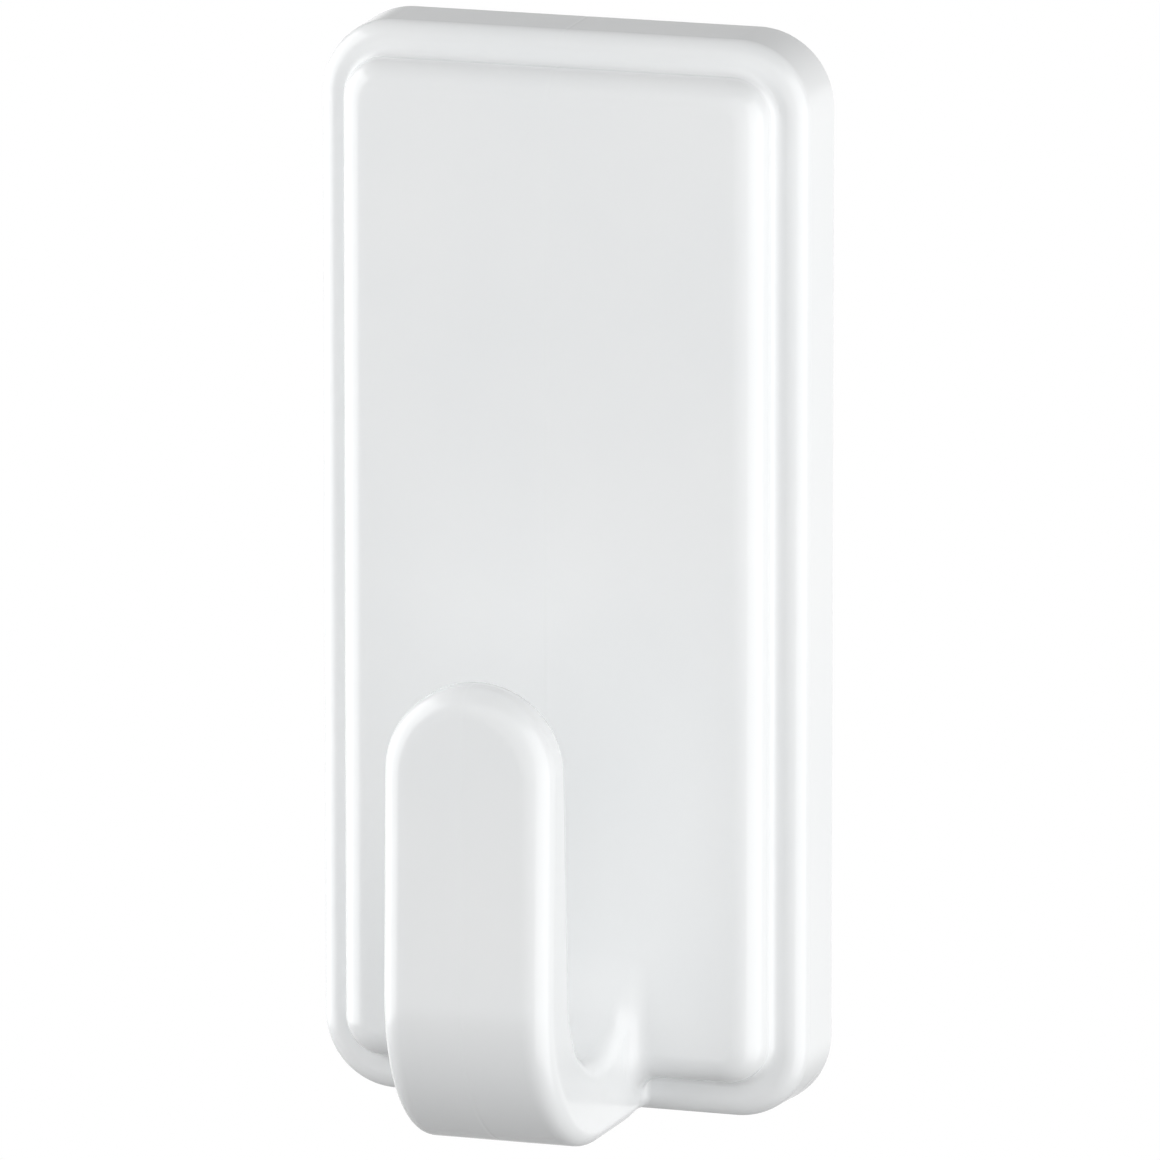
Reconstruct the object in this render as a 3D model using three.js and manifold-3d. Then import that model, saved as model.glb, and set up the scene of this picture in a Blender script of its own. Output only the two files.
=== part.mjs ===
// Adhesive wall hook. A white moulded cover, with its J-shaped hook in one piece with it, slides down
// over a base plate that a stretch-release strip bonds to the wall. Millimetres, +Z up. The wall is the
// plane y = 0, the front faces -Y, and the origin lies on the wall behind the middle of the cover plate.
import * as THREE from 'three';
import { mergeVertices } from 'three/addons/utils/BufferGeometryUtils.js';
import Module from 'manifold-3d';

const wasm = await Module();
wasm.setup();

// Adhesive strip and its folded grip film
const stripWidth = 20;
const stripLength = 50;
const stripThickness = 0.8;
const stripCornerRadius = 1.5;
const tabLength = 12;
const tabFilm = 0.2;
const tabCornerRadius = 3;

// Fits between the sliding cover and the base
const slideClearance = 0.3;
const coverStandOff = 0.4;
const lipReach = 2.6;
const lipThickness = 1;
const flangeThickness = 1.5;
const flangeEdgeGap = 1;
const baseBorder = 0.3;
const baseTopMargin = 5.5;
const baseTopChamfer = 1.6;
const pocketDepth = 0.9;
const pocketMargin = 0.6;
const pocketEnd = 3;
const pocketBridge = 2;
const pocketCornerRadius = 1;

// Cover plate
const wallThickness = 1.8;
const tabRecess = 2.3;
const headRoom = 2.5;
const stopThickness = 1.5;
const guideRibThickness = 1.2;
const guideRibInset = 0.8;
const plateCornerRadius = 4.5;
const sideDraft = 0.15;
const rimEdgeRadius = 1.2;
const panelStep = 2.4;
const panelInset = 2.1;
const panelBottomInset = 2.5;
const panelFootRadius = 0.4;
const panelEdgeRadius = 1.75;

// Hook. The tapers are how far the strap's two faces lean together by its tip.
const hookGap = 10.2;
const hookHeight = 28.25;
const strapWidth = 10.2;
const strapThickness = 4.9;
const strapBackTaper = 0.9;
const strapFrontTaper = 0.4;
const strapBackRadius = 1.1;
const strapFrontRadius = 1.6;
const undersideRadius = 0.9;
const rootFilletRadius = 1.2;
const rootFilletRun = 2.4;
const rimFilletRadius = 0.5;

// How finely curves are cut. The tip's count is odd, so that no point lies in the middle plane.
const cornerSegments = 8;
const edgeSegments = 6;
const footSegments = 3;
const rootSegments = 16;
const bendSegments = 10;
const flankSegments = 6;
const tipSegments = 19;

// How far a joined body sinks into its neighbour, how far a cutter overshoots and the least corner
const bite = 0.04;
const overshoot = 0.5;
const smallestRadius = 0.2;

// Heights, from the strip that everything is built around
const plateHeight = tabRecess + stripLength + baseTopMargin + stopThickness + headRoom + wallThickness;
const plateTop = plateHeight / 2;
const plateBottom = -plateHeight / 2;
const cavityBottom = plateBottom + wallThickness;
const cavityTop = plateTop - wallThickness;
const tabBottom = plateBottom + tabRecess;
const tabTop = tabBottom + tabLength;
const stripTop = tabBottom + stripLength;
const baseTop = stripTop + baseTopMargin;

// Half widths
const baseHalf = stripWidth / 2 + baseBorder;
const lipEdge = baseHalf + slideClearance;
const cavityHalf = lipEdge + lipReach;
const plateHalf = cavityHalf + wallThickness;
const flangeHalf = cavityHalf - flangeEdgeGap;
const guideRibCentre = stripWidth / 2 - guideRibInset;
const pocketHalf = guideRibCentre - guideRibThickness / 2 - pocketMargin;
const strapHalf = strapWidth / 2;

// Depths, measured from the wall towards the room
const lipFront = coverStandOff + lipThickness;
const flangeBack = lipFront + slideClearance;
const baseFront = flangeBack + flangeThickness;
const channelFront = baseFront + slideClearance;
const rimDepth = channelFront + wallThickness;
const panelDepth = rimDepth + panelStep;
const panelBack = panelDepth - wallThickness;

// Edge rounds are limited by the step that they run out on or by the wall that they round
const rimRound = Math.min(rimEdgeRadius, panelInset - panelFootRadius - sideDraft);
const panelRound = Math.min(panelEdgeRadius, panelStep - panelFootRadius);
const thinnestStrap = strapThickness - strapBackTaper - strapFrontTaper;
const strapBackRound = Math.min(strapBackRadius, thinnestStrap / 2 - bite);
const strapFrontRound = Math.min(strapFrontRadius, thinnestStrap / 2 - bite);
const undersideRound = Math.min(undersideRadius, thinnestStrap / 2 - bite);
const bottomExtra = panelBottomInset - panelInset;

// Hook profile: a U between the panel and the strap, level with the lower edge of the plate
const innerRadius = hookGap / 2;
const outerRadius = innerRadius + strapThickness;
const bendDepth = panelDepth + innerRadius;
const bendHeight = plateBottom + outerRadius;
const rootDepth = rimDepth - wallThickness / 2;
const tipRise = plateBottom + hookHeight - bendHeight;

const quarterTurn = Math.PI / 2;

function steps(count, first, last) {
  return Array.from({ length: count + 1 }, (_, i) => first + ((last - first) * i) / count);
}

function point(x, depth, z) {
  return new THREE.Vector3(x, -depth, z);
}

function toSolid(geometry) {
  geometry.deleteAttribute('normal');
  geometry.deleteAttribute('uv');
  const welded = mergeVertices(geometry);
  return new wasm.Manifold(new wasm.Mesh({
    numProp: 3,
    vertProperties: new Float32Array(welded.attributes.position.array),
    triVerts: new Uint32Array(welded.index.array),
  }));
}

function toGeometry(solid) {
  const { vertProperties, triVerts } = solid.getMesh();
  const geometry = new THREE.BufferGeometry();
  geometry.setAttribute('position', new THREE.BufferAttribute(vertProperties, 3));
  geometry.setIndex(new THREE.BufferAttribute(triVerts, 1));
  geometry.computeVertexNormals();
  return geometry;
}

// Box between pairs of limits in x, depth and z
function block([left, right], [back, front], [bottom, top]) {
  const geometry = new THREE.BoxGeometry(right - left, front - back, top - bottom);
  geometry.translate((left + right) / 2, -(back + front) / 2, (bottom + top) / 2);
  return toSolid(geometry);
}

// Outline in x and z, extruded forwards between two depths
function forwardExtrusion(shape, back, front) {
  const geometry = new THREE.ExtrudeGeometry(shape, {
    depth: front - back,
    bevelEnabled: false,
    curveSegments: cornerSegments,
  });
  geometry.rotateX(quarterTurn);
  geometry.translate(0, -back, 0);
  return toSolid(geometry);
}

// Rectangle centred on x = 0, with its own radius for the lower and the upper corners
function panelShape(half, bottom, top, lowerRadius, upperRadius) {
  const shape = new THREE.Shape();
  shape.moveTo(-half + lowerRadius, bottom);
  shape.lineTo(half - lowerRadius, bottom);
  if (lowerRadius > 0) shape.absarc(half - lowerRadius, bottom + lowerRadius, lowerRadius, -quarterTurn, 0);
  shape.lineTo(half, top - upperRadius);
  if (upperRadius > 0) shape.absarc(half - upperRadius, top - upperRadius, upperRadius, 0, quarterTurn);
  shape.lineTo(-half + upperRadius, top);
  if (upperRadius > 0) {
    shape.absarc(-half + upperRadius, top - upperRadius, upperRadius, quarterTurn, 2 * quarterTurn);
  }
  shape.lineTo(-half, bottom + lowerRadius);
  if (lowerRadius > 0) {
    shape.absarc(-half + lowerRadius, bottom + lowerRadius, lowerRadius, 2 * quarterTurn, 3 * quarterTurn);
  }
  return shape;
}

// Closed body through a stack of rings from back to front. Each ring is given by its right half, from its
// lower to its upper end, and is mirrored to the left. Strips between matching points close both ends.
function mirroredLoft(halves) {
  const half = halves[0].length;
  const count = 2 * half;
  const positions = [];
  for (const points of halves) {
    const mirrored = points.map((p) => new THREE.Vector3(-p.x, p.y, p.z)).reverse();
    for (const p of [...points, ...mirrored]) positions.push(p.x, p.y, p.z);
  }
  const index = [];
  for (let ring = 0; ring < halves.length - 1; ring++) {
    for (let i = 0; i < count; i++) {
      const next = (i + 1) % count;
      const [a, b] = [ring * count + i, ring * count + next];
      index.push(a, b, b + count, a, b + count, a + count);
    }
  }
  const front = (halves.length - 1) * count;
  for (let i = 0; i < half - 1; i++) {
    const [right, left] = [i, count - 1 - i];
    index.push(right, left - 1, right + 1, right, left, left - 1);
    index.push(front + right, front + right + 1, front + left - 1);
    index.push(front + right, front + left - 1, front + left);
  }
  const geometry = new THREE.BufferGeometry();
  geometry.setAttribute('position', new THREE.Float32BufferAttribute(positions, 3));
  geometry.setIndex(index);
  return toSolid(geometry);
}

// Right half of the plate's rounded outline, drawn in by an inset, at a depth
function plateRing(inset, extraAtBottom, depth) {
  const half = plateHalf - inset;
  const bottom = plateBottom + inset + extraAtBottom;
  const top = plateTop - inset;
  const radius = Math.max(plateCornerRadius - inset, smallestRadius);
  const lower = steps(cornerSegments, -quarterTurn, 0).map((turn) => (
    point(half - radius + radius * Math.cos(turn), depth, bottom + radius + radius * Math.sin(turn))
  ));
  const upper = steps(cornerSegments, 0, quarterTurn).map((turn) => (
    point(half - radius + radius * Math.cos(turn), depth, top - radius + radius * Math.sin(turn))
  ));
  return [...lower, ...upper];
}

// Stepped outside of the plate: drafted side, rounded rim, rim face, hollow foot and rounded panel
function plateBody() {
  const rings = [plateRing(0, 0, coverStandOff)];
  for (const turn of steps(edgeSegments, 0, quarterTurn)) {
    const inset = sideDraft + rimRound * (1 - Math.cos(turn));
    rings.push(plateRing(inset, 0, rimDepth - rimRound * (1 - Math.sin(turn))));
  }
  for (const turn of steps(footSegments, 0, quarterTurn)) {
    const inset = panelInset - panelFootRadius * (1 - Math.sin(turn));
    rings.push(plateRing(inset, bottomExtra, rimDepth + panelFootRadius * (1 - Math.cos(turn))));
  }
  for (const turn of steps(edgeSegments, 0, quarterTurn)) {
    const inset = panelInset + panelRound * (1 - Math.cos(turn));
    rings.push(plateRing(inset, bottomExtra, panelDepth - panelRound * (1 - Math.sin(turn))));
  }
  return mirroredLoft(rings);
}

// Hollow behind the plate, stepped like its front so that the wall stays even
function plateCavity() {
  return mirroredLoft([
    plateRing(wallThickness, 0, coverStandOff - overshoot),
    plateRing(wallThickness, 0, channelFront),
    plateRing(wallThickness + panelInset, bottomExtra, channelFront),
    plateRing(wallThickness + panelInset, bottomExtra, panelBack),
  ]);
}

// Inner and outer ends of a line through the hook's thickness, as depth and height. A turn of 0 is at the
// panel, a quarter turn under the bend and a half turn at the strap's foot. The rise goes on up the strap.
function throughHook(turn, rise) {
  const [along, down] = [Math.cos(turn), Math.sin(turn)];
  const sink = Math.max(along, 0) * bite;
  const inner = new THREE.Vector2(
    bendDepth - innerRadius * along - sink + (strapBackTaper * rise) / tipRise,
    bendHeight - innerRadius * down + rise,
  );
  if (turn < quarterTurn) {
    const depth = THREE.MathUtils.lerp(rootDepth, bendDepth, turn / quarterTurn);
    return [inner, new THREE.Vector2(depth, plateBottom)];
  }
  const outer = new THREE.Vector2(
    bendDepth - outerRadius * along - (strapFrontTaper * rise) / tipRise,
    bendHeight - outerRadius * down + rise,
  );
  return [inner, outer];
}

// Distance in the middle plane from a place to a step of the plate with a rounded lower edge
function stepDistance(place, stepDepth, stepBottom, round) {
  const forward = place.x - stepDepth + round;
  const below = stepBottom + round - place.y;
  const outside = Math.hypot(Math.max(forward, 0), Math.max(below, 0));
  return outside + Math.min(Math.max(forward, below), 0) - round;
}

// How far a hollow fillet stands out at a distance from the face that it runs into
function hollowFillet(distance, radius) {
  const rise = THREE.MathUtils.clamp(distance + bite, 0, radius);
  return radius - Math.sqrt(radius ** 2 - (radius - rise) ** 2);
}

// The hook's flanks flare into the panel and, more tightly, into the rim below it. The flare at the panel
// grows from the hook's inner face downwards.
function flankFlare(place, fromInner) {
  const panelDistance = stepDistance(place, panelDepth, plateBottom + panelBottomInset, panelRound);
  const rimDistance = stepDistance(place, rimDepth, plateBottom + sideDraft, rimRound);
  const growth = Math.min(fromInner / rootFilletRun, 1);
  return Math.max(
    growth * hollowFillet(panelDistance, rootFilletRadius),
    hollowFillet(rimDistance, rimFilletRadius),
  );
}

// Round along the hook's outer edge, which grows from the underside to the strap
function outerRound(turn) {
  const growth = THREE.MathUtils.smoothstep(turn, quarterTurn, Math.PI);
  return THREE.MathUtils.lerp(undersideRound, strapFrontRound, growth);
}

// Right half of the hook's unrolled outline: root, bend, flank and full-round tip. For a turn and the
// thickness there, place gives how far the ring is drawn in and how deep it lies under the inner face.
function hookRing(place) {
  const tipHalf = strapHalf - place(Math.PI, strapThickness)[0];
  const stations = [
    ...steps(rootSegments, 0, quarterTurn).slice(0, -1),
    ...steps(bendSegments, quarterTurn, Math.PI),
  ];
  const tip = steps(tipSegments, 0, Math.PI).slice(0, (tipSegments + 1) / 2);
  const outline = [
    ...stations.map((turn) => ({ turn, rise: 0, across: 1 })),
    ...tip.map((around) => (
      { turn: Math.PI, rise: tipRise - strapHalf + tipHalf * Math.sin(around), across: Math.cos(around) }
    )),
  ];
  return outline.map(({ turn, rise, across }) => {
    const [inner, outer] = throughHook(turn, rise);
    const through = outer.clone().sub(inner);
    const [inset, fromInner] = place(turn, through.length());
    const spot = inner.addScaledVector(through.normalize(), fromInner);
    const half = strapHalf - inset;
    return point(across * half * (1 + flankFlare(spot, fromInner) / strapHalf), spot.x, spot.y);
  });
}

function hookBody() {
  const edge = steps(edgeSegments, 0, quarterTurn);
  const back = edge.map((bevel) => hookRing(() => (
    [strapBackRound * (1 - Math.sin(bevel)), strapBackRound * (1 - Math.cos(bevel))]
  )));
  const flank = steps(flankSegments, 0, 1).slice(1, -1).map((share) => hookRing((turn, thickness) => (
    [0, THREE.MathUtils.lerp(strapBackRound, thickness - outerRound(turn), share)]
  )));
  const front = edge.map((bevel) => hookRing((turn, thickness) => (
    [outerRound(turn) * (1 - Math.cos(bevel)), thickness - outerRound(turn) * (1 - Math.sin(bevel))]
  )));
  return mirroredLoft([...back, ...flank, ...front]);
}

// Inside the cover: a lip along each side that hooks behind the base's flange, a guide rib on each side
// that bears on the base's front, and a shelf that comes to rest on the base's top edge
function coverInside() {
  const lipLimits = [lipEdge, cavityHalf + overshoot];
  const ribLimits = [guideRibCentre - guideRibThickness / 2, guideRibCentre + guideRibThickness / 2];
  const ribHeights = [cavityBottom + panelBottomInset - overshoot, cavityTop - panelInset + overshoot];
  const shelfHalf = guideRibCentre;
  let solid = block(
    [-shelfHalf, shelfHalf],
    [stripThickness + slideClearance, panelBack + overshoot],
    [baseTop, baseTop + stopThickness],
  );
  for (const side of [1, -1]) {
    const across = (limits) => limits.map((x) => side * x).sort((a, b) => a - b);
    const lip = block(across(lipLimits), [coverStandOff, lipFront], [cavityBottom - bite, baseTop]);
    const rib = block(across(ribLimits), [channelFront, panelBack + overshoot], ribHeights);
    solid = solid.add(lip).add(rib);
  }
  return solid;
}

// Path of the base through the cover's lower wall: a wide channel for its flanges behind a narrower slot
function basePath() {
  const channelHalf = flangeHalf + slideClearance;
  const heights = [plateBottom - overshoot, cavityBottom + plateCornerRadius];
  const channel = block([-channelHalf, channelHalf], [lipFront, channelFront], heights);
  return channel.add(block([-lipEdge, lipEdge], [coverStandOff - overshoot, channelFront], heights));
}

function hookCover() {
  return plateBody().add(hookBody()).subtract(plateCavity()).add(coverInside()).subtract(basePath());
}

// Base plate: T-shaped section whose flanges leave room for the cover's lips behind them, with chamfered
// top corners as a lead-in and two shallow pockets that keep the moulding even
function mountingBase() {
  const section = new THREE.Shape();
  section.moveTo(-baseHalf, -stripThickness);
  section.lineTo(-baseHalf, -flangeBack);
  section.lineTo(-flangeHalf, -flangeBack);
  section.lineTo(-flangeHalf, -baseFront);
  section.lineTo(flangeHalf, -baseFront);
  section.lineTo(flangeHalf, -flangeBack);
  section.lineTo(baseHalf, -flangeBack);
  section.lineTo(baseHalf, -stripThickness);
  const bar = new THREE.ExtrudeGeometry(section, { depth: baseTop - tabTop, bevelEnabled: false });
  bar.translate(0, 0, tabTop);

  const front = new THREE.Shape();
  front.moveTo(-flangeHalf, tabTop);
  front.lineTo(flangeHalf, tabTop);
  front.lineTo(flangeHalf, baseTop - baseTopChamfer);
  front.lineTo(flangeHalf - baseTopChamfer, baseTop);
  front.lineTo(-flangeHalf + baseTopChamfer, baseTop);
  front.lineTo(-flangeHalf, baseTop - baseTopChamfer);
  let solid = toSolid(bar).intersect(forwardExtrusion(front, stripThickness, baseFront));

  const middle = (tabTop + baseTop) / 2;
  const spans = [
    [tabTop + pocketEnd, middle - pocketBridge / 2],
    [middle + pocketBridge / 2, baseTop - pocketEnd],
  ];
  for (const [bottom, top] of spans) {
    const outline = panelShape(pocketHalf, bottom, top, pocketCornerRadius, pocketCornerRadius);
    solid = solid.subtract(forwardExtrusion(outline, baseFront - pocketDepth, baseFront + overshoot));
  }
  return solid;
}

// Strip: full thickness where it is bonded, with a thinner tail that the grip film folds around
function adhesiveStrip() {
  const half = stripWidth / 2;
  const bonded = panelShape(half, tabTop, stripTop, 0, stripCornerRadius);
  const tail = block(
    [-half, half],
    [tabFilm, stripThickness - tabFilm],
    [tabBottom + tabCornerRadius, tabTop + overshoot],
  );
  return forwardExtrusion(bonded, 0, stripThickness).add(tail);
}

// Grip film: folded under the tail's end, one leaf on the wall side and one on the room side
function pullTab() {
  const half = stripWidth / 2;
  const outline = panelShape(half, tabBottom, tabTop, tabCornerRadius, 0);
  const fold = block(
    [-half - overshoot, half + overshoot],
    [tabFilm, stripThickness - tabFilm],
    [tabBottom + tabCornerRadius, tabTop + overshoot],
  );
  return forwardExtrusion(outline, 0, stripThickness).subtract(fold);
}

const glossyWhite = new THREE.MeshStandardMaterial({ color: 0xf1f2f2, roughness: 0.22, metalness: 0 });
const satinWhite = new THREE.MeshStandardMaterial({ color: 0xe6e8e8, roughness: 0.45, metalness: 0 });
const paleRubber = new THREE.MeshStandardMaterial({ color: 0xdcdbd2, roughness: 0.75, metalness: 0 });
const clearFilm = new THREE.MeshStandardMaterial({ color: 0xccd5da, roughness: 0.35, metalness: 0 });

const adhesiveHook = new THREE.Group();
const pieces = [
  ['hook_cover', hookCover(), glossyWhite],
  ['mounting_base', mountingBase(), satinWhite],
  ['adhesive_strip', adhesiveStrip(), paleRubber],
  ['pull_tab', pullTab(), clearFilm],
];
for (const [name, solid, material] of pieces) {
  const mesh = new THREE.Mesh(toGeometry(solid), material);
  mesh.name = name;
  adhesiveHook.add(mesh);
}

export default adhesiveHook;
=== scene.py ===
import math

import bpy
import numpy as np
from mathutils import Matrix, Vector


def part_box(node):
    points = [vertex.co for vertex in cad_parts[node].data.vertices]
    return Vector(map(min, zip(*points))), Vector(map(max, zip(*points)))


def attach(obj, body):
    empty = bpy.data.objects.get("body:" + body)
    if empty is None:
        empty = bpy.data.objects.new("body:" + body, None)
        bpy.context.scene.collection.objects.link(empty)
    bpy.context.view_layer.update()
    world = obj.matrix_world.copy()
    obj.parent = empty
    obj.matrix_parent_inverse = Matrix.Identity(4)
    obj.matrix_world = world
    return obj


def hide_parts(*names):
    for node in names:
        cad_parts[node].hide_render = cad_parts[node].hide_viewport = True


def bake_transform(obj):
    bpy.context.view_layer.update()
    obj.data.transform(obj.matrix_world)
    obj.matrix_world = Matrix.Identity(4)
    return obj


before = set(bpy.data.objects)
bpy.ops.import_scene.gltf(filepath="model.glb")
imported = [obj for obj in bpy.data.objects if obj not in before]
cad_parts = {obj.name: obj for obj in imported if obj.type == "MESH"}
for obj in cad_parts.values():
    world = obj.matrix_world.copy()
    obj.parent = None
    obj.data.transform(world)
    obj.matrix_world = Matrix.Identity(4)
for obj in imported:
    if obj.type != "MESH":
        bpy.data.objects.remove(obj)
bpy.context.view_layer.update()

MILLIMETRE = 0.001
QUARTER_TURN = math.pi / 2

# Limits of the solids that the pieces stand for


def limits(node):
    low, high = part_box(node)
    return np.array(low) / MILLIMETRE, np.array(high) / MILLIMETRE


cover_low, cover_high = limits("hook_cover")
base_low, base_high = limits("mounting_base")
strip_low, strip_high = limits("adhesive_strip")
tab_low, tab_high = limits("pull_tab")

# Cover plate
WALL = 1.8
SIDE_DRAFT = 0.15
PLATE_CORNER = 4.5
RIM_ROUND = 1.2
PANEL_STEP = 2.4
PANEL_INSET = 2.1
PANEL_BOTTOM_INSET = 2.5
PANEL_FOOT = 0.4
PANEL_ROUND = 1.75
SLIDE_CLEARANCE = 0.3
LIP_REACH = 2.6
LIP_THICKNESS = 1.0
FLANGE_THICKNESS = 1.5
STOP_THICKNESS = 1.5
RIB_THICKNESS = 1.2
RIB_INSET = 0.8

# Hook
HOOK_GAP = 10.2
HOOK_HEIGHT = 28.25
STRAP_HALF = 5.1
STRAP_THICKNESS = 4.9
STRAP_BACK_TAPER = 0.9
STRAP_FRONT_TAPER = 0.4
STRAP_BACK_ROUND = 1.1
STRAP_FRONT_ROUND = 1.6
UNDERSIDE_ROUND = 0.9
ROOT_FILLET = 1.2
RIM_FILLET = 0.5

# Faint line where the halves of the mould met, down the middle of the front
PARTING_DEPTH = 0.011
PARTING_WIDTH = 0.11

# Base, strip and tab
BASE_CHAMFER = 1.6
POCKET_DEPTH = 0.9
POCKET_MARGIN = 0.6
POCKET_END = 3.0
POCKET_BRIDGE = 2.0
POCKET_CORNER = 1.0
STRIP_CORNER = 1.5
TAB_CORNER = 3.0
TAB_FILM = 0.2

# Small rounds of moulded and cut edges
MOULDED_EDGE = 0.2
INNER_FILLET = 0.3
CUT_EDGE = 0.1

plate_half = cover_high[0]
plate_top = cover_high[2]
plate_bottom = cover_low[2]
stand_off = -cover_high[1]
base_top = base_high[2]
base_bottom = base_low[2]
base_front = -base_low[1]
flange_half = base_high[0]
strip_half = strip_high[0]
strip_top = strip_high[2]
strip_thickness = -strip_low[1]
tab_bottom = tab_low[2]
tab_top = tab_high[2]

flange_back = base_front - FLANGE_THICKNESS
lip_front = stand_off + LIP_THICKNESS
channel_front = base_front + SLIDE_CLEARANCE
rim_depth = channel_front + WALL
panel_depth = rim_depth + PANEL_STEP
panel_back = panel_depth - WALL
cavity_half = plate_half - WALL
cavity_bottom = plate_bottom + WALL
cavity_top = plate_top - WALL
lip_edge = cavity_half - LIP_REACH
base_half = lip_edge - SLIDE_CLEARANCE
rib_centre = strip_half - RIB_INSET
base_middle = (base_bottom + base_top) / 2
pocket_half = rib_centre - RIB_THICKNESS / 2 - POCKET_MARGIN
pockets = (
    (base_bottom + POCKET_END, base_middle - POCKET_BRIDGE / 2),
    (base_middle + POCKET_BRIDGE / 2, base_top - POCKET_END),
)

inner_radius = HOOK_GAP / 2
outer_radius = inner_radius + STRAP_THICKNESS
bend_depth = panel_depth + inner_radius
bend_height = plate_bottom + outer_radius
tip_top = plate_bottom + HOOK_HEIGHT
tip_centre = tip_top - STRAP_HALF
tip_rise = tip_top - bend_height


# Shapes are fields: below zero inside, zero on the surface


def smoothstep(value, start, end):
    share = np.clip((value - start) / (end - start), 0, 1)
    return share * share * (3 - 2 * share)


def round_join(a, b, radius):
    """Both shapes together, with a hollow fillet where they meet."""
    corner = np.hypot(np.maximum(radius - a, 0), np.maximum(radius - b, 0))
    return np.maximum(radius, np.minimum(a, b)) - corner


def round_meet(a, b, radius):
    """What both shapes share, with a rounded edge."""
    corner = np.hypot(np.maximum(radius + a, 0), np.maximum(radius + b, 0))
    return np.minimum(-radius, np.maximum(a, b)) + corner


def between(value, low, high):
    return np.abs(value - (low + high) / 2) - (high - low) / 2


def rounded_rectangle(x, z, half, bottom, top, radius):
    across = np.abs(x) - half + radius
    along = between(z, bottom, top) + radius
    outside = np.hypot(np.maximum(across, 0), np.maximum(along, 0))
    return outside + np.minimum(np.maximum(across, along), 0) - radius


def rounded_block(across, through, along, radius):
    """Box from its three signed distances, with every edge rounded."""
    parts = [part + radius for part in (across, through, along)]
    outside = np.sqrt(sum(np.maximum(part, 0) ** 2 for part in parts))
    return outside + np.minimum(np.maximum(np.maximum(parts[0], parts[1]), parts[2]), 0) - radius


def rim_field(x, depth, z):
    """Outer step of the plate, with drafted sides and a rounded front edge."""
    draft = SIDE_DRAFT * np.clip((depth - stand_off) / (rim_depth - RIM_ROUND - stand_off), 0, 1)
    side = rounded_rectangle(x, z, plate_half, plate_bottom, plate_top, PLATE_CORNER) + draft
    return round_meet(side, depth - rim_depth, RIM_ROUND)


def panel_field(x, depth, z):
    """Raised panel on the rim, with a softer edge."""
    bottom, top = plate_bottom + PANEL_BOTTOM_INSET, plate_top - PANEL_INSET
    side = rounded_rectangle(x, z, plate_half - PANEL_INSET, bottom, top, PLATE_CORNER - PANEL_INSET)
    return round_meet(side, depth - panel_depth, PANEL_ROUND)


def throat_field(depth, z):
    """Space inside the hook: a round bottom under two faces that open towards the tip."""
    lean = STRAP_BACK_TAPER * np.maximum(z - bend_height, 0) / tip_rise
    across = depth - bend_depth - np.where(depth > bend_depth, lean, 0)
    return np.hypot(across, np.minimum(z - bend_height, 0)) - inner_radius


def outer_field(depth, z):
    """Front, bend and underside of the hook. The underside runs out level with the plate's drafted end."""
    lean = STRAP_FRONT_TAPER * np.maximum(z - bend_height, 0) / tip_rise
    forward = depth - bend_depth + lean
    raised = SIDE_DRAFT * (1 - smoothstep(depth, rim_depth, panel_depth))
    below = bend_height - z + raised
    outside = np.hypot(np.maximum(forward, 0), np.maximum(below, 0))
    return outside + np.minimum(np.maximum(forward, below), 0) - outer_radius


def root_ease(depth, z):
    """How far the flanks ease out where the inner face leaves the panel, so that they fade into it."""
    rise = np.hypot(inner_radius, np.minimum(z - bend_height, 0)) - inner_radius
    short = np.maximum(STRAP_BACK_ROUND - rise, 0)
    ease = STRAP_BACK_ROUND - np.sqrt(STRAP_BACK_ROUND ** 2 - short ** 2)
    return np.where(depth < bend_depth, ease, 0)


def hook_field(x, depth, z, rim, panel):
    """J-shaped strap with a full-round tip, whose flanks flare into the panel and into the rim."""
    throat = throat_field(depth, z)
    flank = np.hypot(x, np.maximum(z - tip_centre, 0)) - STRAP_HALF
    width = np.minimum(round_join(flank, panel, ROOT_FILLET), round_join(flank, rim, RIM_FILLET))
    turn = np.arctan2(np.maximum(depth - bend_depth, 0), np.maximum(bend_height - z, 0))
    growth = smoothstep(turn, 0, QUARTER_TURN)
    edge = UNDERSIDE_ROUND + (STRAP_FRONT_ROUND - UNDERSIDE_ROUND) * growth
    strap = round_meet(outer_field(depth, z), width - root_ease(depth, z), edge)
    strap = round_meet(strap, -throat, STRAP_BACK_ROUND)
    return np.where(depth < bend_depth, np.maximum(strap, flank - ROOT_FILLET), strap)


def hollow_field(x, depth, z):
    """Stepped hollow behind the plate, and the base's way out through the lower wall."""
    wide = rounded_rectangle(x, z, cavity_half, cavity_bottom, cavity_top, PLATE_CORNER - WALL)
    inset = WALL + PANEL_INSET
    bottom, top = plate_bottom + WALL + PANEL_BOTTOM_INSET, plate_top - inset
    narrow = rounded_rectangle(x, z, plate_half - inset, bottom, top, PLATE_CORNER - inset)
    hollow = round_join(
        round_meet(wide, depth - channel_front, INNER_FILLET),
        round_meet(narrow, depth - panel_back, INNER_FILLET),
        MOULDED_EDGE,
    )
    way = z - cavity_bottom - PLATE_CORNER
    channel_half = flange_half + SLIDE_CLEARANCE
    channel = rounded_block(np.abs(x) - channel_half, between(depth, lip_front, channel_front), way, 0)
    slot = rounded_block(np.abs(x) - lip_edge, depth - channel_front, way, 0)
    return round_join(hollow, np.minimum(channel, slot), CUT_EDGE)


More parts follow.
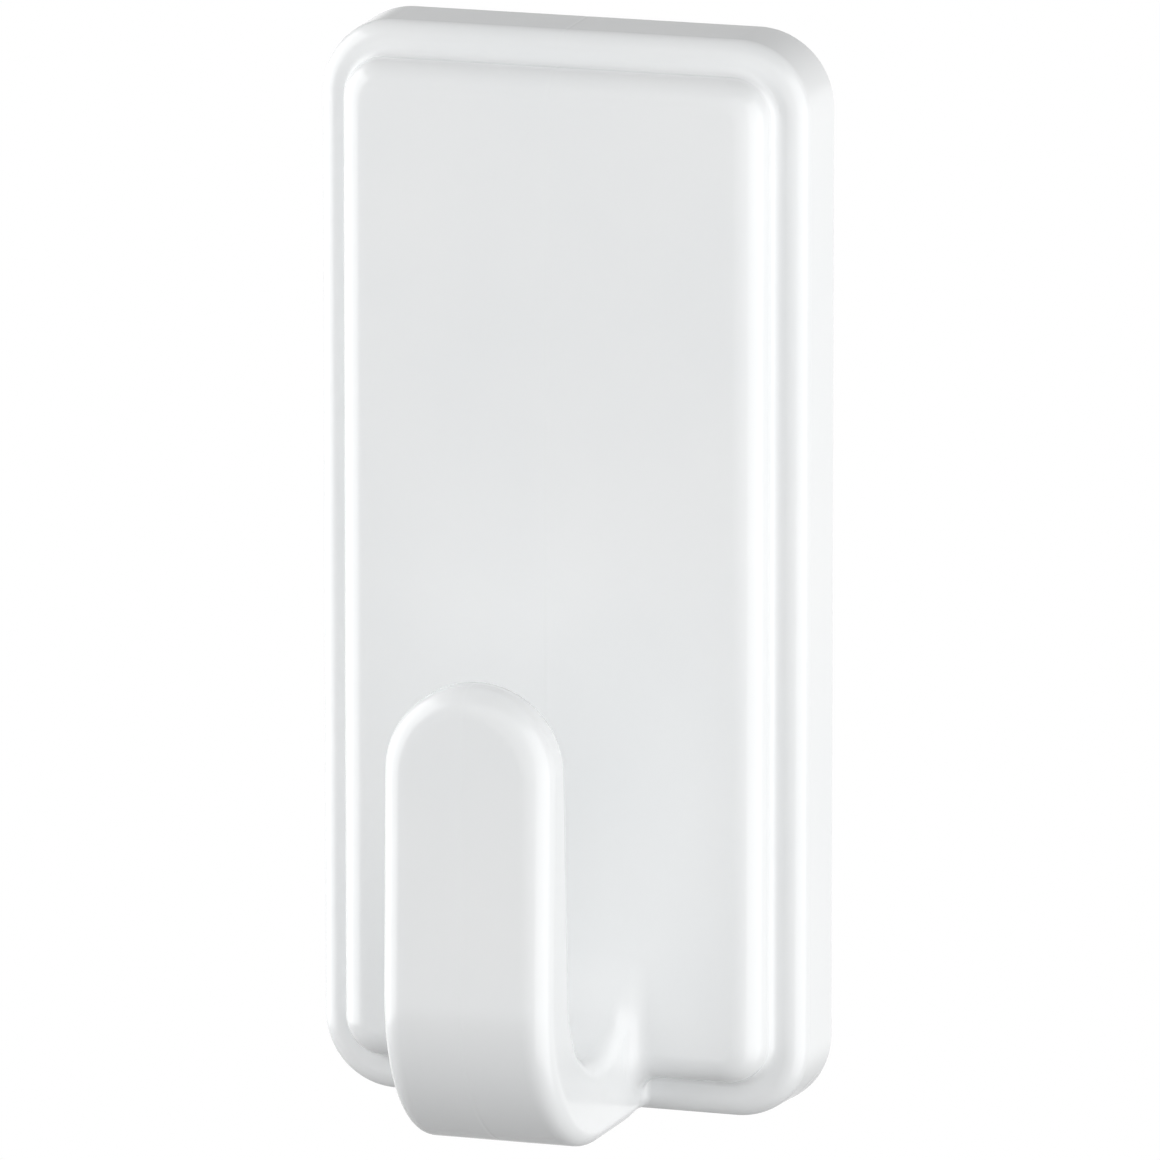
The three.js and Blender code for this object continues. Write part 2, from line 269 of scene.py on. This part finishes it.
def cover_field(x, depth, z):
    rim = rim_field(x, depth, z)
    panel = panel_field(x, depth, z)
    outside = np.minimum(round_join(rim, panel, PANEL_FOOT), hook_field(x, depth, z, rim, panel))
    outside = outside + PARTING_DEPTH * np.exp(-((x / PARTING_WIDTH) ** 2))
    shell = round_meet(outside, stand_off - depth, MOULDED_EDGE)
    shell = round_meet(shell, -hollow_field(x, depth, z), MOULDED_EDGE)

    side = np.abs(x)
    lip = rounded_block(
        between(side, lip_edge, cavity_half + WALL / 2),
        between(depth, stand_off, lip_front),
        between(z, plate_bottom + WALL / 2, base_top),
        MOULDED_EDGE,
    )
    rib = rounded_block(
        np.abs(side - rib_centre) - RIB_THICKNESS / 2,
        between(depth, channel_front, panel_back + WALL / 2),
        between(z, cavity_bottom + PANEL_BOTTOM_INSET - WALL / 2, cavity_top - PANEL_INSET + WALL / 2),
        MOULDED_EDGE,
    )
    shelf = rounded_block(
        side - rib_centre,
        between(depth, strip_thickness + SLIDE_CLEARANCE, panel_back + WALL / 2),
        between(z, base_top, base_top + STOP_THICKNESS),
        MOULDED_EDGE,
    )
    lip = np.maximum(lip, outside + MOULDED_EDGE)
    inside = round_join(round_join(rib, shelf, INNER_FILLET), lip, MOULDED_EDGE)
    return round_join(shell, inside, INNER_FILLET)


def base_field(x, depth, z):
    """T-shaped section with chamfered top corners and two shallow pockets in its front."""
    side = np.abs(x)
    web = round_meet(side - base_half, between(depth, strip_thickness, base_front), CUT_EDGE)
    flange = round_meet(side - flange_half, between(depth, flange_back, base_front), MOULDED_EDGE)
    section = round_join(web, flange, CUT_EDGE)
    chamfer = (side + z - flange_half - base_top + BASE_CHAMFER) / math.sqrt(2)
    ends = np.maximum(between(z, base_bottom, base_top), chamfer)
    body = round_meet(section, ends, MOULDED_EDGE)
    for bottom, top in pockets:
        outline = rounded_rectangle(x, z, pocket_half, bottom, top, POCKET_CORNER)
        pocket = round_meet(outline, base_front - POCKET_DEPTH - depth, INNER_FILLET)
        body = round_meet(body, -pocket, MOULDED_EDGE)
    return body


def strip_field(x, depth, z):
    """Bonded length with rounded upper corners, and the thin tail inside the folded tab."""
    upper = rounded_rectangle(x, z, strip_half, 2 * tab_top - strip_top, strip_top, STRIP_CORNER)
    bonded = round_meet(np.maximum(upper, tab_top - z), between(depth, 0, strip_thickness), CUT_EDGE)
    tail = rounded_block(
        np.abs(x) - strip_half,
        between(depth, TAB_FILM, strip_thickness - TAB_FILM),
        between(z, tab_bottom + TAB_CORNER, tab_top + STRIP_CORNER),
        CUT_EDGE,
    )
    return np.minimum(bonded, tail)


def tab_field(x, depth, z):
    """Film folded round the strip's tail: a rounded fold below and two open leaves above."""
    lower = rounded_rectangle(x, z, strip_half, tab_bottom, 2 * tab_top - tab_bottom, TAB_CORNER)
    outline = np.maximum(lower, z - tab_top)
    half_thickness = strip_thickness / 2
    open_leaves = smoothstep(z, tab_bottom + TAB_CORNER / 2, tab_bottom + TAB_CORNER)
    leaf_edge = TAB_FILM / 3
    edge = half_thickness * (1 - open_leaves) + leaf_edge * open_leaves
    body = round_meet(outline, np.abs(depth - half_thickness) - half_thickness, edge)
    gap = np.maximum(
        between(depth, TAB_FILM, strip_thickness - TAB_FILM),
        tab_bottom + TAB_CORNER - z,
    )
    return round_meet(body, -gap, leaf_edge)


# A mesh is drawn over a grid whose lines crowd together where the shape turns

GRID_MARGIN = 0.3
GRID_GROWTH = 0.36
FILM_STEP = 0.04
LINE_STEP = 0.05
FINE_STEP = 0.1
EDGE_STEP = 0.19
ROUND_STEP = 0.2
SOFT_STEP = 0.6
WIDE_STEP = 1.1
SLOPE_REACH = 0.004
SETTLING_ROUNDS = 5
LARGEST_MOVE = 0.2
LEAST_STEEPNESS = 0.1


def spaced_lines(low, high, coarse, focus):
    """Lines from low to high. In each focus (start, end, step) they are step apart, and away from it their
    spacing grows to coarse."""
    places = [low]
    while places[-1] < high:
        here = places[-1]
        spacing = coarse
        for start, end, step in focus:
            away = max(start - here, here - end, 0)
            spacing = min(spacing, step + GRID_GROWTH * away)
        places.append(here + spacing)
    lines = np.array(places)
    return low + (lines - low) * (high - low) / (lines[-1] - low)


def graded_lines(low, high, coarse, focus):
    """Lines over a piece that reaches from low to high, and over a margin on both sides."""
    return spaced_lines(low - GRID_MARGIN, high + GRID_MARGIN, coarse, focus)


def mirrored_lines(half, coarse, focus):
    """Lines over a piece that is the same on both sides of x = 0."""
    right = spaced_lines(0, half + GRID_MARGIN, coarse, focus)
    return np.concatenate([-right[:0:-1], right])


def slope(field, points):
    """Gradient of a field at points given as rows of x, y and z."""
    columns = []
    for axis in range(3):
        offset = np.zeros(3)
        offset[axis] = SLOPE_REACH
        ahead, behind = points + offset, points - offset
        rise = field(ahead[:, 0], -ahead[:, 1], ahead[:, 2])
        fall = field(behind[:, 0], -behind[:, 1], behind[:, 2])
        columns.append((rise - fall) / (2 * SLOPE_REACH))
    return np.stack(columns, axis=1)


def net_vertices(values, lines):
    """One point in each grid cell that the surface crosses, at the mean of its crossed edges."""
    inside = values < 0
    corners = [(i, j, k) for i in (0, 1) for j in (0, 1) for k in (0, 1)]
    shape = [size - 1 for size in values.shape]

    def corner_of(array, corner):
        return array[tuple(slice(c, c + n) for c, n in zip(corner, shape))]

    count = sum(corner_of(inside, corner).astype(np.int8) for corner in corners)
    cells = np.argwhere((count > 0) & (count < len(corners)))
    total = np.zeros((len(cells), 3))
    crossed = np.zeros((len(cells), 1))
    for first in corners:
        for axis in range(3):
            if first[axis]:
                continue
            second = tuple(1 if a == axis else c for a, c in enumerate(first))
            from_node, to_node = cells + np.array(first), cells + np.array(second)
            near, far = values[tuple(from_node.T)], values[tuple(to_node.T)]
            crosses = (near < 0) != (far < 0)
            share = np.where(crosses, near / np.where(crosses, near - far, 1), 0)[:, None]
            start = np.stack([lines[a][from_node[:, a]] for a in range(3)], axis=1)
            end = np.stack([lines[a][to_node[:, a]] for a in range(3)], axis=1)
            total += np.where(crosses[:, None], start + share * (end - start), 0)
            crossed += crosses[:, None]
    number = np.full(shape, -1, dtype=np.int64)
    number[tuple(cells.T)] = np.arange(len(cells))
    return total / crossed, number


def net_faces(values, number):
    """A quad round each grid edge that the surface crosses, facing out."""
    inside = values < 0
    faces = []
    for axis in range(3):
        u, v = (axis + 1) % 3, (axis + 2) % 3
        start = inside[tuple(slice(0, -1) if a == axis else slice(1, -1) for a in range(3))]
        end = inside[tuple(slice(1, None) if a == axis else slice(1, -1) for a in range(3))]
        for leaving in (True, False):
            edges = np.argwhere((start != end) & (start == leaving))
            ring = []
            for du, dv in ((0, 0), (1, 0), (1, 1), (0, 1)):
                cell = edges.copy()
                cell[:, u] += du
                cell[:, v] += dv
                ring.append(number[tuple(cell.T)])
            quads = np.stack(ring, axis=1)
            faces.append(quads if leaving else quads[:, ::-1])
    return np.concatenate(faces)


def field_piece(name, field, x_lines, depth_lines, z_lines):
    """Closed mesh of a field's surface, with its points and normals taken from the field itself."""
    lines = (x_lines, -depth_lines[::-1], z_lines)
    depth, z = np.meshgrid(-lines[1], lines[2], indexing="ij")
    values = np.stack([field(np.full_like(z, x), depth, z) for x in x_lines])
    points, number = net_vertices(values, lines)
    faces = net_faces(values, number)
    for _ in range(SETTLING_ROUNDS):
        gradient = slope(field, points)
        height = field(points[:, 0], -points[:, 1], points[:, 2])[:, None]
        steepness = np.maximum((gradient ** 2).sum(axis=1, keepdims=True), LEAST_STEEPNESS)
        points = points - np.clip(height * gradient / steepness, -LARGEST_MOVE, LARGEST_MOVE)
    normals = slope(field, points)
    normals /= np.linalg.norm(normals, axis=1, keepdims=True)

    mesh = bpy.data.meshes.new(name)
    mesh.from_pydata((points * MILLIMETRE).tolist(), [], faces.tolist())
    mesh.polygons.foreach_set("use_smooth", np.ones(len(faces), dtype=bool))
    mesh.normals_split_custom_set_from_vertices(normals.tolist())
    mesh.update()
    piece = bpy.data.objects.new(name, mesh)
    bpy.context.scene.collection.objects.link(piece)
    return piece


def cover_piece():
    front = -cover_low[1]
    strap_back = front - STRAP_THICKNESS
    throat_bottom = bend_height - inner_radius
    x_lines = mirrored_lines(plate_half, WIDE_STEP, [
        (0, 2 * PARTING_WIDTH, LINE_STEP),
        (STRAP_HALF - STRAP_FRONT_ROUND, STRAP_HALF + ROOT_FILLET, ROUND_STEP),
        (rib_centre - RIB_THICKNESS / 2, rib_centre + RIB_THICKNESS / 2, EDGE_STEP),
        (lip_edge, lip_edge + MOULDED_EDGE, FINE_STEP),
        (flange_half, plate_half, EDGE_STEP),
    ])
    depth_lines = graded_lines(stand_off, front, WIDE_STEP, [
        (stand_off, lip_front, FINE_STEP),
        (channel_front, channel_front + MOULDED_EDGE, FINE_STEP),
        (rim_depth - RIM_ROUND, rim_depth + PANEL_FOOT, EDGE_STEP),
        (panel_back - INNER_FILLET, panel_depth, EDGE_STEP),
        (strap_back, strap_back + STRAP_BACK_ROUND, ROUND_STEP),
        (front - STRAP_FRONT_ROUND, front, ROUND_STEP),
    ])
    z_lines = graded_lines(plate_bottom, plate_top, WIDE_STEP, [
        (plate_bottom, cavity_bottom + PANEL_BOTTOM_INSET, EDGE_STEP),
        (throat_bottom, throat_bottom + STRAP_BACK_ROUND, ROUND_STEP),
        (tip_centre, tip_top, ROUND_STEP),
        (base_top, base_top + STOP_THICKNESS, EDGE_STEP),
        (cavity_top - PANEL_INSET - INNER_FILLET, plate_top, EDGE_STEP),
    ])
    return field_piece("hook_cover_moulding", cover_field, x_lines, depth_lines, z_lines)


def base_piece():
    pocket_floor = base_front - POCKET_DEPTH
    x_lines = mirrored_lines(flange_half, WIDE_STEP, [
        (pocket_half - POCKET_CORNER, pocket_half + MOULDED_EDGE, FINE_STEP),
        (base_half - MOULDED_EDGE, base_half + MOULDED_EDGE, FINE_STEP),
        (flange_half - BASE_CHAMFER, flange_half, FINE_STEP),
    ])
    depth_lines = graded_lines(strip_thickness, base_front, SOFT_STEP, [
        (strip_thickness, strip_thickness + CUT_EDGE, LINE_STEP),
        (flange_back - CUT_EDGE, flange_back + MOULDED_EDGE, FINE_STEP),
        (pocket_floor, pocket_floor + INNER_FILLET, FINE_STEP),
        (base_front - MOULDED_EDGE, base_front, FINE_STEP),
    ])
    pocket_ends = [end for pocket in pockets for end in pocket]
    z_lines = graded_lines(base_bottom, base_top, WIDE_STEP, [
        (base_bottom, base_bottom + MOULDED_EDGE, FINE_STEP),
        *((end - INNER_FILLET, end + INNER_FILLET, FINE_STEP) for end in pocket_ends),
        (base_top - BASE_CHAMFER, base_top, FINE_STEP),
    ])
    return field_piece("mounting_base_moulding", base_field, x_lines, depth_lines, z_lines)


def strip_piece():
    tail_bottom = tab_bottom + TAB_CORNER
    x_lines = mirrored_lines(strip_half, SOFT_STEP, [(strip_half - STRIP_CORNER, strip_half, FINE_STEP)])
    depth_lines = graded_lines(0, strip_thickness, FINE_STEP, [
        (0, TAB_FILM + CUT_EDGE, LINE_STEP),
        (strip_thickness - TAB_FILM - CUT_EDGE, strip_thickness, LINE_STEP),
    ])
    z_lines = graded_lines(tail_bottom, strip_top, SOFT_STEP, [
        (tail_bottom, tail_bottom + CUT_EDGE, LINE_STEP),
        (tab_top - CUT_EDGE, tab_top + CUT_EDGE, LINE_STEP),
        (strip_top - STRIP_CORNER, strip_top, FINE_STEP),
    ])
    return field_piece("adhesive_strip_foam", strip_field, x_lines, depth_lines, z_lines)


def tab_piece():
    x_lines = mirrored_lines(strip_half, SOFT_STEP, [(strip_half - TAB_CORNER, strip_half, EDGE_STEP)])
    depth_lines = graded_lines(0, strip_thickness, FILM_STEP, [])
    z_lines = graded_lines(tab_bottom, tab_top, SOFT_STEP, [
        (tab_bottom, tab_bottom + TAB_CORNER, FINE_STEP),
        (tab_top - CUT_EDGE, tab_top, FILM_STEP),
    ])
    return field_piece("pull_tab_film", tab_field, x_lines, depth_lines, z_lines)


# Materials: scales are per metre, and bump heights are millimetres

NOISE_LOW = 0.3
NOISE_HIGH = 0.7
PLASTIC_IOR = 1.5


class Nodes:
    """Node material under construction, with short calls for the nodes that several materials use."""

    def __init__(self, name):
        self.material = bpy.data.materials.new(name)
        self.material.use_nodes = True
        self.tree = self.material.node_tree
        self.shader = self.tree.nodes["Principled BSDF"]
        self.place = self.tree.nodes.new("ShaderNodeTexCoord").outputs["Object"]

    def link(self, output, entry):
        self.tree.links.new(output, entry)

    def noise(self, scale, detail):
        node = self.tree.nodes.new("ShaderNodeTexNoise")
        node.inputs["Scale"].default_value = scale
        node.inputs["Detail"].default_value = detail
        self.link(self.place, node.inputs["Vector"])
        return node.outputs["Fac"]

    def cells(self, scale):
        node = self.tree.nodes.new("ShaderNodeTexVoronoi")
        node.inputs["Scale"].default_value = scale
        self.link(self.place, node.inputs["Vector"])
        return node.outputs["Distance"]

    def roughness(self, factor, low, high):
        """Roughness between low and high, as a noise goes."""
        node = self.tree.nodes.new("ShaderNodeMapRange")
        node.inputs["From Min"].default_value = NOISE_LOW
        node.inputs["From Max"].default_value = NOISE_HIGH
        node.inputs["To Min"].default_value = low
        node.inputs["To Max"].default_value = high
        self.link(factor, node.inputs["Value"])
        self.link(node.outputs["Result"], self.shader.inputs["Roughness"])

    def tint(self, factor, first, second):
        """Colour between two tints, as a noise goes."""
        node = self.tree.nodes.new("ShaderNodeValToRGB")
        node.color_ramp.elements[0].position = NOISE_LOW
        node.color_ramp.elements[0].color = (*first, 1)
        node.color_ramp.elements[1].position = NOISE_HIGH
        node.color_ramp.elements[1].color = (*second, 1)
        self.link(factor, node.inputs["Fac"])
        self.link(node.outputs["Color"], self.shader.inputs["Base Color"])

    def bump(self, height, strength, distance):
        """Relief on top of any that is there already."""
        node = self.tree.nodes.new("ShaderNodeBump")
        node.inputs["Strength"].default_value = strength
        node.inputs["Distance"].default_value = distance * MILLIMETRE
        self.link(height, node.inputs["Height"])
        previous = self.shader.inputs["Normal"].links
        if previous:
            self.link(previous[0].from_socket, node.inputs["Normal"])
        self.link(node.outputs["Normal"], self.shader.inputs["Normal"])


def gloss_white():
    """Polished moulding: a trace of flow in the colour, a barely uneven polish and a little orange peel."""
    nodes = Nodes("gloss_white_plastic")
    nodes.tint(nodes.noise(scale=90, detail=3), (0.856, 0.871, 0.878), (0.878, 0.889, 0.893))
    nodes.roughness(nodes.noise(scale=260, detail=4), low=0.12, high=0.19)
    nodes.bump(nodes.noise(scale=420, detail=1), strength=0.1, distance=0.02)
    nodes.shader.inputs["IOR"].default_value = PLASTIC_IOR
    return nodes.material


def satin_white():
    """Base moulding: fine spark-eroded texture."""
    nodes = Nodes("satin_white_plastic")
    nodes.tint(nodes.noise(scale=120, detail=3), (0.7, 0.715, 0.72), (0.76, 0.77, 0.77))
    nodes.roughness(nodes.noise(scale=900, detail=3), low=0.38, high=0.52)
    nodes.bump(nodes.noise(scale=5200, detail=2), strength=0.25, distance=0.02)
    return nodes.material


def strip_foam():
    """Stretchy adhesive foam: matt, with fine cells and slight yellowing."""
    nodes = Nodes("strip_foam")
    nodes.tint(nodes.noise(scale=160, detail=4), (0.7, 0.69, 0.62), (0.76, 0.755, 0.7))
    nodes.roughness(nodes.noise(scale=700, detail=3), low=0.55, high=0.75)
    nodes.bump(nodes.cells(scale=2600), strength=0.35, distance=0.05)
    nodes.bump(nodes.noise(scale=900, detail=3), strength=0.2, distance=0.05)
    return nodes.material


def tab_film():
    """Thin film: pale, a little cloudy, with faint creases."""
    nodes = Nodes("tab_film")
    nodes.tint(nodes.noise(scale=140, detail=4), (0.66, 0.71, 0.74), (0.74, 0.77, 0.79))
    nodes.roughness(nodes.noise(scale=500, detail=3), low=0.22, high=0.36)
    nodes.bump(nodes.noise(scale=330, detail=3), strength=0.2, distance=0.05)
    return nodes.material


def dress(piece, material, node):
    piece.data.materials.append(material)
    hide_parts(node)


# Stage

PICTURE_WIDTH = 67.32
CAMERA_AZIMUTH = math.radians(19)
CAMERA_ELEVATION = math.radians(11.8)
CAMERA_DISTANCE = 1000.0
AIM_RIGHT = -0.61
AIM_UP = -1.48
WORLD_LIGHT = 0.26
FLOOR_HEIGHT = -155.0
FLOOR_RADIUS = 120.0
FLOOR_FADE = 100.0
FLOOR_SIDES = 96
FLOOR_COLOUR = 0.22
FLOOR_GLOW = 0.4

# Backdrop: upward part of a direction, and how bright it looks there
BACKDROP = ((-0.44, 0.5), (-0.28, 1.0), (0.0, 1.0), (0.12, 0.45))

# Lamps: azimuth and elevation in degrees, distance, width and height, and brightness of the face
LAMPS = {
    "left_lamp": (-79, 10, 300, 400, 410, 2.35),
    "right_lamp": (77, -7, 300, 360, 700, 1.63),
    "front_lamp": (15, 22, 420, 480, 560, 0.77),
    "back_lamp": (180, -12, 420, 420, 400, 1.4),
}


def seen_directly(tree):
    """1 for rays from the camera and for those that gloss or glass sends on, 0 for the others."""
    path = tree.nodes.new("ShaderNodeLightPath")
    factor = path.outputs["Is Camera Ray"]
    for other in ("Is Glossy Ray", "Is Transmission Ray"):
        either = tree.nodes.new("ShaderNodeMath")
        either.operation = "MAXIMUM"
        tree.links.new(factor, either.inputs[0])
        tree.links.new(path.outputs[other], either.inputs[1])
        factor = either.outputs[0]
    return factor


def add_world():
    """Even dim light, and a backdrop to look at, white just below the horizon and greyer elsewhere."""
    world = bpy.data.worlds.new("studio")
    world.use_nodes = True
    tree = world.node_tree
    tree.nodes.clear()
    light = tree.nodes.new("ShaderNodeBackground")
    light.inputs["Strength"].default_value = WORLD_LIGHT
    light.inputs["Color"].default_value = (1, 1, 1, 1)

    direction = tree.nodes.new("ShaderNodeSeparateXYZ")
    tree.links.new(tree.nodes.new("ShaderNodeTexCoord").outputs["Generated"], direction.inputs[0])
    height = tree.nodes.new("ShaderNodeMapRange")
    height.inputs["From Min"].default_value = -1
    tree.links.new(direction.outputs["Z"], height.inputs["Value"])
    shade = tree.nodes.new("ShaderNodeValToRGB")
    shade.color_ramp.interpolation = "EASE"
    stops = shade.color_ramp.elements
    while len(stops) < len(BACKDROP):
        stops.new(1)
    for stop, (upward, bright) in zip(stops, BACKDROP):
        stop.position = (upward + 1) / 2
        stop.color = (bright, bright, bright, 1)
    tree.links.new(height.outputs["Result"], shade.inputs["Fac"])
    backdrop = tree.nodes.new("ShaderNodeBackground")
    tree.links.new(shade.outputs["Color"], backdrop.inputs["Color"])

    mix = tree.nodes.new("ShaderNodeMixShader")
    tree.links.new(seen_directly(tree), mix.inputs["Fac"])
    tree.links.new(light.outputs[0], mix.inputs[1])
    tree.links.new(backdrop.outputs[0], mix.inputs[2])
    output = tree.nodes.new("ShaderNodeOutputWorld")
    tree.links.new(mix.outputs[0], output.inputs["Surface"])
    bpy.context.scene.world = world


def add_floor():
    """Round floor that fades out at its edge and looks paler than the light that it sends up."""
    turns = np.arange(FLOOR_SIDES) * 2 * math.pi / FLOOR_SIDES
    reach = FLOOR_RADIUS + FLOOR_FADE
    rim = [Vector((reach * math.cos(t), reach * math.sin(t), FLOOR_HEIGHT)) * MILLIMETRE for t in turns]
    mesh = bpy.data.meshes.new("floor")
    mesh.from_pydata(rim, [], [list(range(len(rim)))])
    floor = bpy.data.objects.new("floor", mesh)
    bpy.context.scene.collection.objects.link(floor)
    material = bpy.data.materials.new("floor_pale")
    material.use_nodes = True
    tree = material.node_tree
    tree.nodes.clear()
    diffuse = tree.nodes.new("ShaderNodeBsdfDiffuse")
    diffuse.inputs["Color"].default_value = (FLOOR_COLOUR, FLOOR_COLOUR, FLOOR_COLOUR, 1)
    flat = tree.nodes.new("ShaderNodeVectorMath")
    flat.operation = "MULTIPLY"
    flat.inputs[1].default_value = (1, 1, 0)
    tree.links.new(tree.nodes.new("ShaderNodeTexCoord").outputs["Object"], flat.inputs[0])
    away = tree.nodes.new("ShaderNodeVectorMath")
    away.operation = "LENGTH"
    tree.links.new(flat.outputs["Vector"], away.inputs[0])
    fade = tree.nodes.new("ShaderNodeMapRange")
    fade.interpolation_type = "SMOOTHSTEP"
    fade.inputs["From Min"].default_value = FLOOR_RADIUS * MILLIMETRE
    fade.inputs["From Max"].default_value = reach * MILLIMETRE
    tree.links.new(away.outputs["Value"], fade.inputs["Value"])
    share = tree.nodes.new("ShaderNodeMath")
    share.operation = "MULTIPLY"
    share.inputs[1].default_value = FLOOR_GLOW
    tree.links.new(seen_directly(tree), share.inputs[0])
    pale = tree.nodes.new("ShaderNodeMixShader")
    tree.links.new(share.outputs[0], pale.inputs["Fac"])
    tree.links.new(diffuse.outputs[0], pale.inputs[1])
    tree.links.new(tree.nodes.new("ShaderNodeEmission").outputs[0], pale.inputs[2])
    mix = tree.nodes.new("ShaderNodeMixShader")
    tree.links.new(fade.outputs["Result"], mix.inputs["Fac"])
    tree.links.new(pale.outputs[0], mix.inputs[1])
    tree.links.new(tree.nodes.new("ShaderNodeBsdfTransparent").outputs[0], mix.inputs[2])
    output = tree.nodes.new("ShaderNodeOutputMaterial")
    tree.links.new(mix.outputs[0], output.inputs["Surface"])
    mesh.materials.append(material)


def towards(azimuth, elevation):
    """Direction from the object at an azimuth and elevation in radians. Azimuth 0 is straight in front."""
    level = math.cos(elevation)
    return Vector((math.sin(azimuth) * level, -math.cos(azimuth) * level, math.sin(elevation)))


def add_lamp(name, azimuth, elevation, distance, width, height, brightness):
    """Rectangular lamp that faces the object and is not itself seen by the camera."""
    light = bpy.data.lights.new(name, "AREA")
    light.shape = "RECTANGLE"
    light.size = width * MILLIMETRE
    light.size_y = height * MILLIMETRE
    light.energy = brightness * math.pi * light.size * light.size_y
    lamp = bpy.data.objects.new(name, light)
    away = towards(math.radians(azimuth), math.radians(elevation))
    lamp.location = away * distance * MILLIMETRE
    lamp.rotation_euler = (-away).to_track_quat("-Z", "Y").to_euler()
    lamp.visible_camera = False
    bpy.context.scene.collection.objects.link(lamp)


def add_camera():
    back = towards(CAMERA_AZIMUTH, CAMERA_ELEVATION)
    right = Vector((math.cos(CAMERA_AZIMUTH), math.sin(CAMERA_AZIMUTH), 0))
    up = back.cross(right)
    data = bpy.data.cameras.new("camera")
    data.lens = data.sensor_width * CAMERA_DISTANCE / PICTURE_WIDTH
    data.clip_end = 2 * CAMERA_DISTANCE * MILLIMETRE
    camera = bpy.data.objects.new("camera", data)
    aim = right * AIM_RIGHT + up * AIM_UP
    turn = Matrix((right, up, back)).transposed().to_4x4()
    camera.matrix_world = Matrix.Translation((aim + back * CAMERA_DISTANCE) * MILLIMETRE) @ turn
    bpy.context.scene.collection.objects.link(camera)
    bpy.context.scene.camera = camera


def add_stage():
    add_world()
    add_floor()
    for name, setting in LAMPS.items():
        add_lamp(name, *setting)
    bpy.data.objects["back_lamp"].visible_glossy = False
    add_camera()
    bpy.context.scene.view_settings.view_transform = "Standard"


add_stage()

cover = cover_piece()
dress(cover, gloss_white(), "hook_cover")
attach(cover, "cover")

base = base_piece()
dress(base, satin_white(), "mounting_base")
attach(base, "wall_base")

tab = tab_piece()
dress(tab, tab_film(), "pull_tab")
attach(tab, "tab")

strip = strip_piece()
dress(strip, strip_foam(), "adhesive_strip")
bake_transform(strip)
